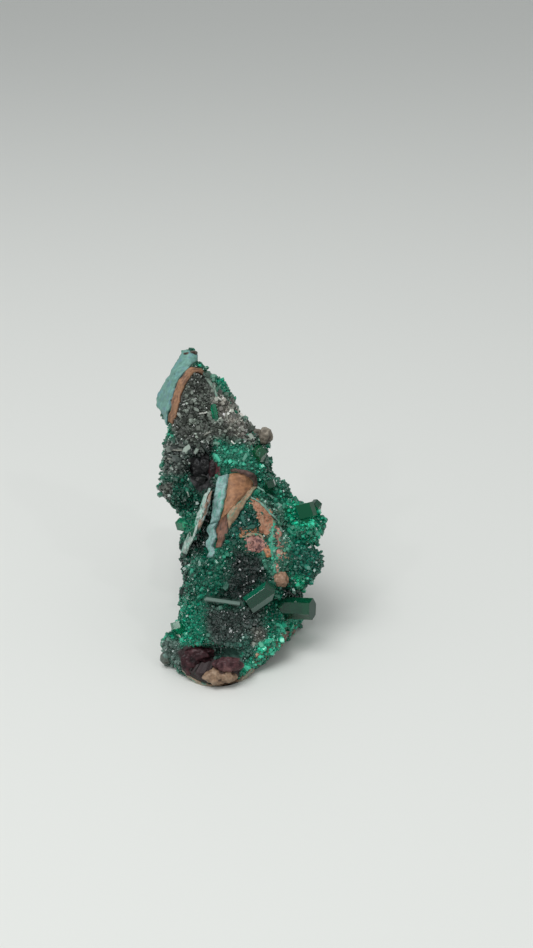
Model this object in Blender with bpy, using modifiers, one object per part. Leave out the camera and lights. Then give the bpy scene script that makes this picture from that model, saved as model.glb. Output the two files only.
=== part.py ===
"""A dioptase specimen: a leaning, wedge-shaped lump of ore matrix with the larger crystals grown on it.

The frame has its origin on the flat base, with +Z up. The broad face leans back from a foot
point at the front of the base, so most places are given along that face, in millimetres:
across it, up it, and out from it.
"""

from math import atan2, cos, pi, radians, sin, tan

import bmesh
import bpy
from mathutils import Matrix, Vector

MM = 0.001

# Driving dimensions, in millimetres
FOOT = (-2.0, -17.0, 0.0)
LEAN = radians(45)
SOCKET_GAP = 0.3
CELL = 0.75
SOFTEN_TURNS = 5
MATRIX_FACES = 6400
BULGE_SIZE, BULGE_HEIGHT = 4.6, 1.3
KNURL_SIZE, KNURL_HEIGHT = 1.9, 0.9
BASE_CUT = 60.0

# Dioptase ends in three faces that stand over every other edge of the prism, this far from level
TIP_SLOPE = radians(51)
PRISM_SIDES = 6

# Lumps of the matrix: centre and half sizes across, up and out of the leaning face
FACE_LUMPS = {
    "tip": ((-4.7, 53.7, 0.0), (1.8, 2.4, 1.9)),
    "peak": ((-5.2, 48.3, -2.8), (3.5, 7.0, 4.6)),
    "wing": ((-8.0, 49.2, -6.0), (2.3, 4.0, 3.0)),
    "peak_right": ((-3.3, 52.0, -2.2), (1.8, 3.2, 2.4)),
    "crest": ((-1.3, 47.9, -3.2), (3.6, 4.6, 3.9)),
    "neck": ((1.1, 43.2, -3.6), (3.2, 4.0, 4.3)),
    "tower": ((-1.0, 37.5, -7.0), (8.2, 11.0, 7.5)),
    "knob": ((7.3, 39.7, 0.0), (1.6, 1.5, 1.7)),
    "shoulder_right": ((4.0, 35.4, -3.6), (4.2, 5.6, 4.9)),
    "ledge_right": ((8.3, 32.0, -3.8), (3.3, 2.6, 3.8)),
    "shoulder_left": ((-5.2, 38.2, -4.6), (3.6, 8.2, 4.8)),
    "flank_left": ((-5.7, 33.5, -4.2), (3.5, 2.7, 3.8)),
    "bump_left": ((-7.2, 42.0, -4.0), (1.3, 1.6, 2.2)),
    "middle": ((4.4, 25.0, -7.2), (9.4, 12.0, 8.2)),
    "clump_high": ((12.4, 27.0, -3.4), (3.9, 3.7, 4.2)),
    "clump_low": ((12.3, 20.2, -2.8), (4.0, 4.7, 4.2)),
    "leaf": ((1.4, 30.0, -0.7), (3.5, 5.8, 2.4)),
    "mound": ((2.8, 16.8, -2.6), (8.0, 5.8, 4.4)),
    "lower": ((2.2, 9.6, -3.2), (8.7, 6.4, 4.2)),
}

# Lumps of the foot and back: centre and half sizes in the frame itself
FOOT_LUMPS = {
    "foot_front": ((-2.2, -9.0, 2.2), (6.8, 8.4, 5.5)),
    "foot_right": ((2.9, 2.8, 3.5), (8.7, 10.0, 9.0)),
    "foot_left": ((-2.4, 1.0, 4.0), (5.6, 11.0, 9.0)),
    "heel": ((0.8, 8.0, 9.0), (9.2, 7.4, 10.5)),
    "back": ((-0.6, 14.0, 19.0), (7.3, 6.2, 10.5)),
    "lump_left": ((-8.6, -10.2, 2.2), (1.8, 2.1, 3.0)),
}

# Hollows cut into the face: centre and half sizes across, up and out of it
HOLLOWS = {
    "hollow_front": ((-1.0, 4.0, 1.6), (5.4, 2.0, 2.4)),
    "hollow_upper": ((-2.5, 34.6, 1.2), (2.7, 3.8, 2.6)),
    "hollow_leaf": ((-2.4, 27.0, 1.4), (1.2, 6.0, 2.2)),
}

# Crystals: root and tip across, up and out of the face, width across flats, and roll in degrees
CRYSTALS = {
    "front_crystal": [((9.9, 13.2, -3.3), (14.6, 12.5, -1.5), 2.9, 32)],
    "ridge_crystal": [((4.8, 12.4, 0.8), (9.1, 15.3, 1.4), 2.5, 26)],
    "blade_crystal": [((3.1, 12.8, 0.5), (-1.8, 13.4, 0.9), 0.7, 29)],
    "right_cluster": [
        ((12.8, 25.4, -2.4), (14.1, 28.0, 3.2), 3.2, 0),
        ((12.0, 24.8, -2.0), (16.8, 26.4, 0.0), 3.0, 20),
        ((12.2, 25.0, -2.4), (14.3, 24.4, 3.0), 2.8, 35),
        ((12.0, 25.4, -2.2), (10.3, 27.8, 2.1), 2.4, 10),
        ((12.3, 24.9, -2.6), (15.0, 22.6, 1.2), 2.4, 50),
    ],
    "spike_crystal": [((14.9, 28.0, -3.4), (15.5, 30.1, -1.0), 1.6, 15)],
    "left_cluster": [
        ((-3.2, 26.0, -2.6), (-6.6, 26.3, -1.2), 2.0, 0),
        ((-3.2, 26.0, -2.4), (-5.0, 27.7, -0.9), 1.8, 30),
        ((-3.1, 25.8, -2.4), (-4.3, 24.7, -0.4), 1.8, 15),
    ],
    "upper_crystal": [((-0.4, 43.4, -0.7), (-0.95, 45.6, 0.9), 0.9, 0)],
    "shoulder_crystal": [((5.4, 35.4, -1.8), (6.9, 37.9, 2.0), 2.0, 25)],
    "ledge_crystal": [((7.2, 31.0, -2.2), (8.6, 32.3, 1.6), 1.6, 5)],
    "edge_crystal": [((-4.6, 8.6, -2.2), (-6.4, 9.6, 1.2), 1.5, 40)],
}

# Crystals that are broken off square at the tip
BROKEN = ("front_crystal",)

MATRIX_COLOUR = (0.19, 0.15, 0.11, 1.0)
DIOPTASE_COLOUR = (0.0, 0.19, 0.09, 1.0)


def on_face(across, up, out):
    """The point in metres that lies this far across, up and out of the leaning face."""
    return MM * Vector((
        FOOT[0] + across,
        FOOT[1] + up * cos(LEAN) - out * sin(LEAN),
        FOOT[2] + up * sin(LEAN) + out * cos(LEAN),
    ))


def clear_scene():
    for obj in list(bpy.data.objects):
        bpy.data.objects.remove(obj, do_unlink=True)


def new_collection(name, hidden=False):
    collection = bpy.data.collections.new(name)
    bpy.context.scene.collection.children.link(collection)
    collection.hide_render = hidden
    return collection


def new_material(name, colour, roughness):
    material = bpy.data.materials.new(name)
    material.use_nodes = True
    shader = material.node_tree.nodes["Principled BSDF"]
    shader.inputs["Base Color"].default_value = colour
    shader.inputs["Roughness"].default_value = roughness
    shader.inputs["Metallic"].default_value = 0.0
    return material


def new_object(name, mesh, collection, material=None):
    obj = bpy.data.objects.new(name, mesh)
    collection.objects.link(obj)
    if material:
        mesh.materials.append(material)
    return obj


def make_cutter(obj):
    obj.hide_render = True
    obj.display_type = "WIRE"


def add_lump(mesh, centre, half_sizes, lean, subdivisions=4):
    """One rounded lump, as a sphere stretched to its half sizes and turned with the face."""
    placement = Matrix.Translation(centre) @ Matrix.Rotation(lean, 4, "X")
    stretch = Matrix.Diagonal((*(MM * size for size in half_sizes), 1.0))
    bmesh.ops.create_icosphere(
        mesh, subdivisions=subdivisions, radius=1.0, matrix=placement @ stretch
    )


def noise_texture(name, size):
    texture = bpy.data.textures.new(name, "CLOUDS")
    texture.noise_scale = MM * size
    texture.noise_depth = 1
    return texture


def add_roughness(obj, name, size, height):
    displace = obj.modifiers.new(name, "DISPLACE")
    displace.texture = noise_texture(name, size)
    displace.texture_coords = "LOCAL"
    displace.strength = MM * height
    displace.mid_level = 0.5


def face_count(obj):
    graph = bpy.context.evaluated_depsgraph_get()
    mesh = obj.evaluated_get(graph).to_mesh()
    mesh.calc_loop_triangles()
    return len(mesh.loop_triangles)


def build_matrix(collection, material):
    """All lumps blended into one rock, roughened, and brought to a modest number of faces."""
    lumps = bmesh.new()
    for centre, half_sizes in FACE_LUMPS.values():
        add_lump(lumps, on_face(*centre), half_sizes, LEAN)
    for centre, half_sizes in FOOT_LUMPS.values():
        add_lump(lumps, MM * Vector(centre), half_sizes, 0.0)
    mesh = bpy.data.meshes.new("matrix")
    lumps.to_mesh(mesh)
    lumps.free()
    matrix = new_object("matrix", mesh, collection, material)
    blend = matrix.modifiers.new("blend", "REMESH")
    blend.mode = "VOXEL"
    blend.voxel_size = MM * CELL
    soften = matrix.modifiers.new("soften", "SMOOTH")
    soften.iterations = SOFTEN_TURNS
    add_roughness(matrix, "bulges", BULGE_SIZE, BULGE_HEIGHT)
    add_roughness(matrix, "knurls", KNURL_SIZE, KNURL_HEIGHT)
    fewer = matrix.modifiers.new("fewer", "DECIMATE")
    fewer.ratio = MATRIX_FACES / face_count(matrix)
    return matrix


def add_crystal(mesh, root, tip, width, roll, slope, grow=0.0):
    """A six-sided prism from root to tip that ends in three faces of this slope, all pushed out by grow.

    The end starts as a fan about its middle, and each rim corner is lowered to where the
    sloping faces cross its edge: the full drop under a face's middle, half of it between two.
    """
    axis = tip - root
    length = axis.length + 2 * grow
    radius = (width / 2 + grow) / cos(pi / PRISM_SIDES)
    made = bmesh.ops.create_cone(
        mesh,
        cap_ends=True,
        cap_tris=True,
        segments=PRISM_SIDES,
        radius1=radius,
        radius2=radius,
        depth=length,
    )
    for vertex in made["verts"]:
        on_rim = vertex.co.xy.length > radius / 2
        if vertex.co.z < 0 or not on_rim:
            continue
        corner = round(atan2(vertex.co.y, vertex.co.x) / (2 * pi / PRISM_SIDES) - 0.5)
        vertex.co.z -= radius * tan(slope) * (1.0 if corner % 2 else 0.5)
    turn = axis.to_track_quat("Z", "Y").to_matrix().to_4x4()
    middle = (root + tip) / 2
    placement = Matrix.Translation(middle) @ turn @ Matrix.Rotation(radians(roll), 4, "Z")
    bmesh.ops.transform(mesh, matrix=placement, verts=made["verts"])


def crystal_object(name, crystal, collection, material=None, slope=TIP_SLOPE, grow=0.0):
    root, tip, width, roll = crystal
    mesh = bmesh.new()
    add_crystal(mesh, on_face(*root), on_face(*tip), MM * width, roll, slope, MM * grow)
    bmesh.ops.recalc_face_normals(mesh, faces=mesh.faces)
    data = bpy.data.meshes.new(name)
    mesh.to_mesh(data)
    mesh.free()
    return new_object(name, data, collection, material)


def build_crystals(collection, guides, sockets, material):
    """Each named crystal or joined cluster, with a slightly larger copy of each prism to cut its socket."""
    for name, prisms in CRYSTALS.items():
        slope = 0.0 if name in BROKEN else TIP_SLOPE
        main = crystal_object(name, prisms[0], collection, material, slope)
        for number, prism in enumerate(prisms[1:], start=2):
            member = crystal_object(f"{name}_{number}", prism, guides)
            make_cutter(member)
            join = main.modifiers.new(member.name, "BOOLEAN")
            join.operation = "UNION"
            join.object = member
        for number, prism in enumerate(prisms, start=1):
            socket = crystal_object(f"socket_{name}_{number}", prism, sockets, None, slope, SOCKET_GAP)
            make_cutter(socket)


def build_hollows(sockets):
    for name, (centre, half_sizes) in HOLLOWS.items():
        mesh = bmesh.new()
        add_lump(mesh, on_face(*centre), half_sizes, LEAN, subdivisions=3)
        data = bpy.data.meshes.new(name)
        mesh.to_mesh(data)
        mesh.free()
        make_cutter(new_object(name, data, sockets))


def build_base_cutter(sockets):
    """A block whose top face is the plane that the specimen rests on."""
    mesh = bmesh.new()
    below = Matrix.Translation((0.0, 0.0, -MM * BASE_CUT / 2))
    bmesh.ops.create_cube(mesh, size=MM * BASE_CUT, matrix=below)
    data = bpy.data.meshes.new("base_cutter")
    mesh.to_mesh(data)
    mesh.free()
    make_cutter(new_object("base_cutter", data, sockets))


def cut_matrix(matrix, sockets):
    for cutter in sockets.objects:
        cut = matrix.modifiers.new(cutter.name, "BOOLEAN")
        cut.operation = "DIFFERENCE"
        cut.object = cutter


clear_scene()
specimen = new_collection("dioptase_specimen")
guides = new_collection("joined_prisms", hidden=True)
sockets = new_collection("cutters", hidden=True)
rock = new_material("matrix_rock", MATRIX_COLOUR, 0.8)
dioptase = new_material("dioptase", DIOPTASE_COLOUR, 0.12)
matrix = build_matrix(specimen, rock)
build_base_cutter(sockets)
build_hollows(sockets)
build_crystals(specimen, guides, sockets, dioptase)
cut_matrix(matrix, sockets)
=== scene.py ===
"""The looks of a dioptase specimen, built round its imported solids. Lengths are in millimetres
until a mesh is made. The broad face leans back from a foot point at the front of the base, and
places on it are given across it, up it and out from it.
"""

from itertools import product
from math import cos, pi, radians, sin, sqrt, tan

import bmesh
import bpy
import numpy as np
from mathutils import Matrix, Vector


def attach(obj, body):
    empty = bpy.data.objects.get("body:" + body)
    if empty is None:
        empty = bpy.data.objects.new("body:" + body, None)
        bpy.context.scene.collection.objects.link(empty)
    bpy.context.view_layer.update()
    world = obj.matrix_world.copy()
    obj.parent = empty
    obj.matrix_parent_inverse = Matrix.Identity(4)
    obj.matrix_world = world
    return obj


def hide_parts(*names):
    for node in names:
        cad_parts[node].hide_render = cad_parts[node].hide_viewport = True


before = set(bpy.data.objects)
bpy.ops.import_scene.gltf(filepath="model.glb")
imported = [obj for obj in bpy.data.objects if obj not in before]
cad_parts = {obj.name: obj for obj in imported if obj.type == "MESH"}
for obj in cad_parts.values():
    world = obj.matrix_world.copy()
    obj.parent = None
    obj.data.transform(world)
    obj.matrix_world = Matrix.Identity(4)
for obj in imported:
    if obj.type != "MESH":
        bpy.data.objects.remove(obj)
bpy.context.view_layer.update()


# The camera looks down on the specimen from a little above it, at the photograph's angle. Its
# focal length is given in pixels, as the sides of the picture are.
PICTURE_WIDTH, PICTURE_HEIGHT = 533, 948
FOCAL_PIXELS = 1400.0
SENSOR = 36.0
CAMERA_PITCH = radians(23.5)
CAMERA_PLACE = np.array([5.6, -193.8, 111.3])
MM = 0.001

camera_data = bpy.data.cameras.new("photo_camera")
camera_data.sensor_width = SENSOR
camera_data.lens = SENSOR * FOCAL_PIXELS / PICTURE_HEIGHT
camera_data.clip_start = 0.01
camera = bpy.data.objects.new("photo_camera", camera_data)
camera.location = MM * CAMERA_PLACE
camera.rotation_euler = (pi / 2 - CAMERA_PITCH, 0.0, 0.0)
bpy.context.scene.collection.objects.link(camera)
bpy.context.scene.camera = camera


def in_picture(points):
    """Where points fall in the picture, in pixels, and how far off they are, along the view."""
    away = points - CAMERA_PLACE
    depth = away[:, 1] * cos(CAMERA_PITCH) - away[:, 2] * sin(CAMERA_PITCH)
    down = -away[:, 2] * cos(CAMERA_PITCH) - away[:, 1] * sin(CAMERA_PITCH)
    across = PICTURE_WIDTH / 2 + FOCAL_PIXELS * away[:, 0] / depth
    return np.column_stack([across, PICTURE_HEIGHT / 2 + FOCAL_PIXELS * down / depth]), depth


# The matrix is one lump of copper ore that broke off with a flat underside. It is brown and
# grey rock with grown-on crusts, and it bulges where the druse sits on it, so its shape is a
# blend of rounded lumps, pushed in and out by noise.
FOOT = np.array([-2.0, -17.0, 0.0])
LEAN = radians(45)
FACE_AXES = np.array([[1, 0, 0], [0, cos(LEAN), sin(LEAN)], [0, -sin(LEAN), cos(LEAN)]])
FACE_LUMPS = {
    "tip": ((-4.7, 53.7, 0.0), (1.8, 2.4, 1.9)),
    "peak": ((-5.2, 48.3, -2.8), (3.5, 7.0, 4.6)),
    "wing": ((-8.0, 49.2, -6.0), (2.3, 4.0, 3.0)),
    "peak_right": ((-3.5, 51.8, -2.2), (1.5, 2.9, 2.2)),
    "crest": ((-1.3, 47.9, -3.2), (3.6, 4.6, 3.9)),
    "neck": ((1.1, 43.2, -3.6), (3.2, 4.0, 4.3)),
    "tower": ((-1.0, 37.5, -7.0), (8.2, 11.0, 7.5)),
    "knob": ((7.3, 39.7, 0.0), (1.6, 1.5, 1.7)),
    "shoulder_right": ((4.0, 35.4, -3.6), (4.2, 5.6, 4.9)),
    "ledge_right": ((8.3, 32.0, -3.8), (3.3, 2.6, 3.8)),
    "shoulder_left": ((-5.2, 38.2, -4.6), (3.6, 8.2, 4.8)),
    "flank_left": ((-5.7, 33.5, -4.2), (3.5, 2.7, 3.8)),
    "bump_left": ((-7.2, 42.0, -4.0), (1.3, 1.6, 2.2)),
    "middle": ((4.4, 25.0, -7.2), (9.4, 12.0, 8.2)),
    "clump_high": ((12.4, 27.0, -3.4), (3.9, 3.7, 4.2)),
    "clump_low": ((12.3, 20.2, -2.8), (4.0, 4.7, 4.2)),
    "leaf": ((1.4, 30.0, -0.7), (3.5, 5.8, 2.4)),
    "mound": ((2.8, 16.8, -2.6), (8.0, 5.8, 4.4)),
    "lower": ((2.2, 9.6, -3.2), (8.7, 6.4, 4.2)),
}
FOOT_LUMPS = {
    "foot_front": ((-2.2, -9.0, 2.2), (6.8, 8.4, 5.5)),
    "foot_right": ((2.9, 2.8, 3.5), (8.7, 10.0, 9.0)),
    "foot_left": ((-2.4, 1.0, 4.0), (5.6, 11.0, 9.0)),
    "heel": ((0.8, 8.0, 9.0), (9.2, 7.4, 10.5)),
    "back": ((-0.6, 14.0, 19.0), (7.3, 6.2, 10.5)),
    "lump_left": ((-8.6, -10.2, 2.2), (1.8, 2.1, 3.0)),
}
HOLLOWS = {
    "hollow_front": ((-1.0, 4.0, 1.6), (5.4, 2.0, 2.4)),
    "hollow_upper": ((-2.5, 34.6, 1.2), (2.7, 3.8, 2.6)),
    "hollow_leaf": ((-2.4, 27.0, 1.4), (1.2, 6.0, 2.2)),
}
MELT = 0.45
INSET = 0.45
SPINE_LOW = np.array([0.5, -3.0, 4.0])
SPINE_HIGH = np.array([-7.0, 19.5, 33.0])
RINGS_LOW, RINGS_MIDDLE, RINGS_HIGH = 84, 132, 42
SEGMENTS = 368
REACH = 34.0
MARCH_TURNS = 60
MARCH_CAUTION = 0.75
HASH_STEPS = np.array([73856093, 19349663, 83492791])
BULGE_HEIGHT, BULGE_SIZE = 0.8, 3.4
KNURL_HEIGHT, KNURL_SIZE = 0.26, 1.0
CALM_BELOW = 1.5


def on_face(places):
    """Points of the row's frame for places across, up and out of the leaning face."""
    return FOOT + np.asarray(places, float) @ FACE_AXES


def to_ellipsoid(points, centre, half_sizes, axes):
    """Rough distance to an ellipsoid, negative inside: k(k - 1) / g, where k is the length of the
    point in units of the half sizes and g the length of the same point over their squares."""
    local = (points - centre) @ axes.T
    scaled = np.sqrt(((local / half_sizes) ** 2).sum(1)) + 1e-9
    slope = np.sqrt(((local / half_sizes**2) ** 2).sum(1)) + 1e-9
    return scaled * (scaled - 1) / slope


LUMPS = [(on_face(c), np.array(h), FACE_AXES) for c, h in FACE_LUMPS.values()]
LUMPS += [(np.array(c), np.array(h), np.eye(3)) for c, h in FOOT_LUMPS.values()]
DENTS = [(on_face(c), np.array(h), FACE_AXES) for c, h in HOLLOWS.values()]


def from_rock(points, grown=0.0):
    """Rough distance to the rock, negative inside. The lumps melt together by the logarithm of a
    sum of exponentials, the hollows and the floor cut the result, and grown swells it."""
    total = np.zeros(len(points))
    for centre, half_sizes, axes in LUMPS:
        total += np.exp(-to_ellipsoid(points, centre, half_sizes, axes) / MELT)
    outside = -MELT * np.log(total + 1e-30) + INSET - grown
    for centre, half_sizes, axes in DENTS:
        outside = np.maximum(outside, -to_ellipsoid(points, centre, half_sizes, axes))
    return np.maximum(outside, -points[:, 2])


def lattice_noise(points, size, seed):
    """Smooth noise between about -1 and 1: a slope hashed from each corner of a cubic lattice
    acts on the way to the point, and the eight results blend by a smooth step."""
    cells = points / size
    base = np.floor(cells).astype(np.int64)
    part = cells - base
    ease = part**3 * (part * (part * 6 - 15) + 10)
    total = np.zeros(len(points))
    for corner in product((0, 1), repeat=3):
        key = (base + corner) * HASH_STEPS
        mixed = (key[:, 0] ^ key[:, 1] ^ key[:, 2]) + seed * 7919
        mixed = ((mixed ^ (mixed >> 13)) * 1274126177) & 0x7FFFFFFF
        slopes = np.column_stack([mixed & 1023, (mixed >> 10) & 1023, (mixed >> 20) & 1023])
        pull = ((slopes / 511.5 - 1) * (part - corner)).sum(1)
        total += pull * np.prod(np.where(corner, ease, 1 - ease), axis=1)
    return total * 1.3


def rough_noise(points, size, octaves, seed):
    """Lattice noise summed over octaves, each half the size and half the height of the last."""
    return sum(
        lattice_noise(points, size / 2**k, seed + k) / 2**k for k in range(octaves)
    )


def unit(vectors):
    return vectors / (np.linalg.norm(vectors, axis=-1, keepdims=True) + 1e-12)


def capsule_rays():
    """Starting points on the spine and directions away from it, ring by ring: a half ball of
    directions at the low end, flat rings along the spine, and a half ball at the high end."""
    axis = unit(SPINE_HIGH - SPINE_LOW)
    side = unit(np.cross(axis, [0.0, 1.0, 0.0]))
    front = np.cross(axis, side)
    tilt = np.concatenate([
        np.linspace(-pi / 2, 0, RINGS_LOW, endpoint=False),
        np.zeros(RINGS_MIDDLE),
        np.linspace(0, pi / 2, RINGS_HIGH + 1)[1:],
    ])
    along = np.concatenate([
        np.zeros(RINGS_LOW), np.linspace(0, 1, RINGS_MIDDLE), np.ones(RINGS_HIGH)
    ])
    around = np.linspace(0, 2 * pi, SEGMENTS, endpoint=False)
    ring = np.cos(around)[:, None] * side + np.sin(around)[:, None] * front
    ways = np.cos(tilt)[:, None, None] * ring + np.sin(tilt)[:, None, None] * axis
    starts = SPINE_LOW + along[:, None, None] * (SPINE_HIGH - SPINE_LOW) + 0 * ways
    return starts, ways


def grid_normals(grid):
    """Outward normals of a grid that closes round its second direction."""
    round_it = np.roll(grid, -1, axis=1) - np.roll(grid, 1, axis=1)
    along_it = np.gradient(grid, axis=0)
    return unit(np.cross(round_it, along_it))


def march_in(starts, ways):
    """Where each ray last meets the rock: from far out it steps in by a share of the distance."""
    far = np.full(len(starts), REACH)
    for _ in range(MARCH_TURNS):
        far -= MARCH_CAUTION * from_rock(starts + far[:, None] * ways)
    return starts + np.maximum(far, 0.05)[:, None] * ways


def tube_faces(rings, segments):
    """Quads between the rings of a grid that closes round, turned to face out."""
    ring, step = np.meshgrid(np.arange(rings - 1), np.arange(segments), indexing="ij")
    after = (step + 1) % segments
    low, high = ring * segments, (ring + 1) * segments
    return np.stack([low + step, low + after, high + after, high + step], -1).reshape(-1, 4)


def new_piece(name, points, faces, material, colours=None, smooth=False, weld=False):
    """A mesh object from points in millimetres and faces, with one colour for each point. weld
    joins the points that lie on one place, as at the ends of a tube drawn in to a point."""
    mesh = bpy.data.meshes.new(name)
    mesh.vertices.add(len(points))
    mesh.vertices.foreach_set("co", (MM * points).astype(np.float32).ravel())
    mesh.loops.add(faces.size)
    mesh.loops.foreach_set("vertex_index", faces.astype(np.int32).ravel())
    mesh.polygons.add(len(faces))
    first_loops = np.arange(0, faces.size, faces.shape[1], dtype=np.int32)
    mesh.polygons.foreach_set("loop_start", first_loops)
    mesh.polygons.foreach_set("use_smooth", np.full(len(faces), smooth))
    mesh.update(calc_edges=True)
    if colours is not None:
        layer = mesh.attributes.new("mineral", "FLOAT_COLOR", "POINT")
        rgba = np.column_stack([colours, np.ones(len(colours))]).astype(np.float32)
        layer.data.foreach_set("color", rgba.ravel())
    if weld:
        joined = bmesh.new()
        joined.from_mesh(mesh)
        bmesh.ops.remove_doubles(joined, verts=joined.verts, dist=1e-8)
        joined.to_mesh(mesh)
        joined.free()
    mesh.materials.append(material)
    piece = bpy.data.objects.new(name, mesh)
    bpy.context.scene.collection.objects.link(piece)
    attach(piece, "root")
    return piece


starts, ways = capsule_rays()
rock_grid = march_in(starts.reshape(-1, 3), ways.reshape(-1, 3)).reshape(ways.shape)
rock_normals = grid_normals(rock_grid)
flat_points = rock_grid.reshape(-1, 3)
flat_normals = rock_normals.reshape(-1, 3)
lift = BULGE_HEIGHT * rough_noise(flat_points, BULGE_SIZE, 3, 11)
lift += KNURL_HEIGHT * rough_noise(flat_points, KNURL_SIZE, 3, 23)
lift *= np.clip(flat_points[:, 2] / CALM_BELOW, 0, 1)
rock_points = flat_points + lift[:, None] * flat_normals
rock_points[:, 2] = np.maximum(rock_points[:, 2], 0.0)
rock_normals = grid_normals(rock_points.reshape(rock_grid.shape)).reshape(-1, 3)
rock_quads = tube_faces(len(rock_grid), SEGMENTS)
rock_pixels, rock_depth = in_picture(rock_points)
rock_facing = (unit(CAMERA_PLACE - rock_points) * rock_normals).sum(1)


def paint(red, green, blue):
    """A colour as read off a screen, 0 to 255, made linear for the shader."""
    screen = np.array([red, green, blue]) / 255
    return np.where(screen <= 0.04045, screen / 12.92, ((screen + 0.055) / 1.055) ** 2.4)


def inside(pixels, outline):
    """How deep pixels lie inside a closed outline of pixels, in pixels, negative outside."""
    corners = np.asarray(outline, float)
    nearest = np.full(len(pixels), 1e9)
    crossings = np.zeros(len(pixels), int)
    for start, end in zip(corners, np.roll(corners, -1, axis=0)):
        way = end - start
        share = np.clip(((pixels - start) @ way) / (way @ way), 0, 1)
        nearest = np.minimum(nearest, np.linalg.norm(pixels - start - share[:, None] * way, axis=1))
        straddles = (start[1] > pixels[:, 1]) != (end[1] > pixels[:, 1])
        level = start[0] + (pixels[:, 1] - start[1]) * way[0] / (way[1] or 1e-9)
        crossings += straddles & (pixels[:, 0] < level)
    return np.where(crossings % 2, nearest, -nearest)


def ease(values, low, high):
    """0 below low, 1 above high, and a smooth step between."""
    share = np.clip((values - low) / (high - low), 0, 1)
    return share * share * (3 - 2 * share)


def blend_in(colours, colour, weight):
    return colours + weight[:, None] * (np.asarray(colour) - colours)


# The druse's colours over the side that the picture shows. Each patch has an outline in pixels,
# a colour, and how soft its border is in pixels. Some patches are painted shade, marked below.
PLAIN_GREEN, BRIGHT, SEA = paint(10, 108, 84), paint(8, 138, 108), paint(48, 144, 118)
# Of these, the second, the darkest green, is painted shade for the druse in creases and gaps, and the third,
# grey-black, is painted shade round the upper cavity.
DEEP, SHADE_GREEN, CAVITY_SHADE = paint(10, 86, 68), paint(8, 46, 38), paint(26, 40, 36)
GREY, MAUVE, TEAL_GREY = paint(88, 94, 87), paint(144, 141, 133), paint(58, 74, 69)
WAVER, WAVER_SIZE = 5, 2.2
DRUSE_PATCHES = [
    ([(196, 350), (204, 356), (236, 386), (244, 412), (234, 410), (214, 388), (198, 366)], BRIGHT, 3),
    ([(170, 384), (190, 366), (206, 374), (240, 414), (262, 434), (254, 452), (222, 440), (196, 452),
      (170, 430)], GREY, 4),
    ([(214, 392), (236, 400), (250, 426), (244, 438), (228, 430), (214, 410)], MAUVE, 4),
    ([(163, 438), (182, 440), (190, 452), (186, 476), (164, 478)], paint(64, 74, 70), 4),
    ([(158, 422), (170, 420), (172, 440), (158, 442)], BRIGHT, 3),
    # Painted shade: the druse round the upper cavity is painted near black-green where shade falls into it.
    ([(186, 446), (214, 440), (216, 486), (204, 498), (186, 492)], CAVITY_SHADE, 4),
    ([(158, 478), (186, 476), (206, 486), (204, 514), (176, 510), (158, 494)], DEEP, 4),
    ([(156, 484), (172, 484), (172, 500), (158, 500)], GREY, 3),
    ([(216, 440), (250, 446), (262, 476), (230, 474), (214, 462)], SEA, 5),
    # Painted shade in the gap between the ridge and the leaf lobe
    ([(200, 520), (218, 520), (204, 556), (186, 560)], SHADE_GREEN, 3),
    # Painted shade: the druse below the leaf's right side is darkened where shade falls.
    ([(232, 504), (262, 514), (256, 538), (226, 546)], paint(16, 90, 76), 5),
    ([(256, 482), (284, 484), (292, 520), (272, 516)], paint(36, 122, 98), 5),
    ([(236, 548), (262, 558), (270, 580), (244, 600), (220, 600), (228, 570)], paint(32, 50, 46), 8),
    ([(206, 606), (262, 606), (266, 640), (246, 664), (214, 654), (204, 630)], TEAL_GREY, 8),
    ([(216, 646), (262, 632), (272, 644), (246, 668), (218, 658)], paint(62, 112, 98), 6),
    ([(252, 628), (268, 630), (266, 644), (252, 644)], paint(120, 122, 114), 3),
    ([(182, 556), (214, 548), (216, 590), (186, 598)], paint(7, 104, 82), 8),
    # Painted shade in the groove left of the mound
    ([(177, 544), (187, 544), (187, 598), (179, 598)], SHADE_GREEN, 2),
    # Painted shade in the crease between the ridge and the leaf
    ([(209, 492), (216, 488), (212, 524), (206, 524)], SHADE_GREEN, 2),
    ([(164, 600), (202, 602), (204, 646), (170, 648)], BRIGHT, 8),
    ([(236, 676), (262, 642), (300, 612), (306, 630), (262, 664)], paint(46, 176, 142), 5),
    ([(284, 496), (328, 496), (328, 545), (286, 545)], BRIGHT, 6),
    ([(292, 545), (326, 545), (326, 586), (296, 586)], paint(12, 110, 90), 6),
    ([(288, 498), (312, 496), (322, 512), (316, 528), (296, 530), (286, 516)], paint(8, 172, 132), 4),
    # Dark druse darkened further as painted shade above the front crystal
    ([(280, 586), (302, 588), (311, 598), (284, 606)], SHADE_GREEN, 3),
    ([(294, 576), (304, 576), (304, 590), (295, 590)], paint(10, 190, 142), 2),
    ([(158, 640), (180, 640), (182, 670), (158, 670)], paint(98, 124, 115), 3),
    ([(262, 500), (284, 510), (288, 545), (284, 574), (270, 574), (267, 530)], paint(78, 126, 108), 4),
    ([(262, 552), (278, 552), (282, 572), (268, 574)], paint(70, 146, 122), 3),
]


def druse_colours(points, pixels, facing):
    """The druse's colour at points of the rock: the patches in turn over a plain green, each
    with a border that wavers with the noise and fades where the rock turns from the view."""
    colours = np.tile(PLAIN_GREEN, (len(points), 1))
    waver = WAVER * rough_noise(points, WAVER_SIZE, 2, 91)
    for outline, colour, softness in DRUSE_PATCHES:
        weight = ease(inside(pixels, outline) + waver, -softness, softness) * ease(facing, 0.0, 0.2)
        colours = blend_in(colours, colour, weight)
    return colours


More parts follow.
